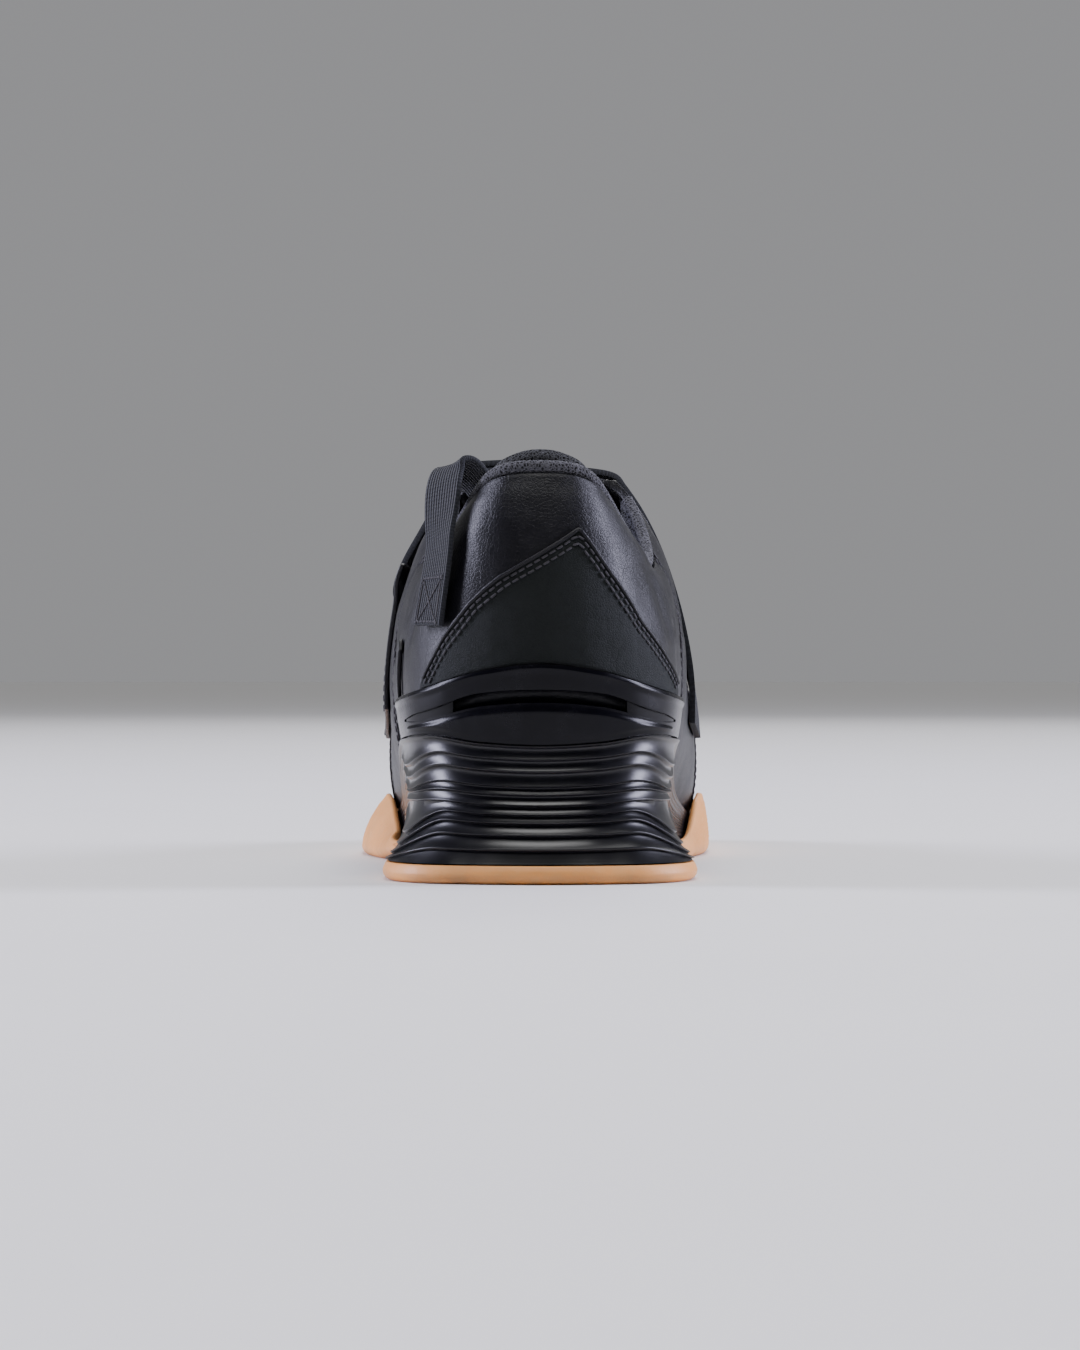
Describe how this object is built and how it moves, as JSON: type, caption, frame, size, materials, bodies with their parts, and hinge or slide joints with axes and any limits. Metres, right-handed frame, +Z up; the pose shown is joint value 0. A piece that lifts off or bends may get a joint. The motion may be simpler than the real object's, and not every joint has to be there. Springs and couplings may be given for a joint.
{
  "type": "weightlifting shoe",
  "caption": "Low-cut lifting shoe with a raised ribbed heel wedge, gum outsole, heel clip, midfoot strap and heel pull loop.",
  "frame": {"origin": "on the ground under the middle of the shoe's box", "axes": "+Z up, +Y from heel to toe, +X to the medial side"},
  "size_m": [0.1114, 0.2902, 0.1254],
  "materials": {
    "gum": "smooth satin gum rubber",
    "midsole": "satin black moulded midsole",
    "clip": "satin black moulded plastic",
    "leather": "fine grained black leather with a violet grey sheen",
    "matte_leather": "matte dark green grey",
    "textile": "ribbed black textile",
    "mesh": "fuzzy black mesh",
    "webbing": "ribbed black webbing",
    "lace": "woven black cord"
  },
  "bodies": {
    "root": {"collar_binding": "textile", "counter_patch": "matte_leather", "eyestay": "leather", "heel_clip": "clip", "insole": "textile", "lace_bar_1": "lace", "lace_bar_2": "lace", "lace_bar_3": "lace", "lace_bar_4": "lace", "lace_bar_5": "lace", "midfoot_strap": "webbing", "midsole": "midsole", "outsole": "gum", "pull_loop": "webbing", "strap_tab": "leather", "tongue": "mesh", "upper": "leather"}
  },
  "joints": []
}
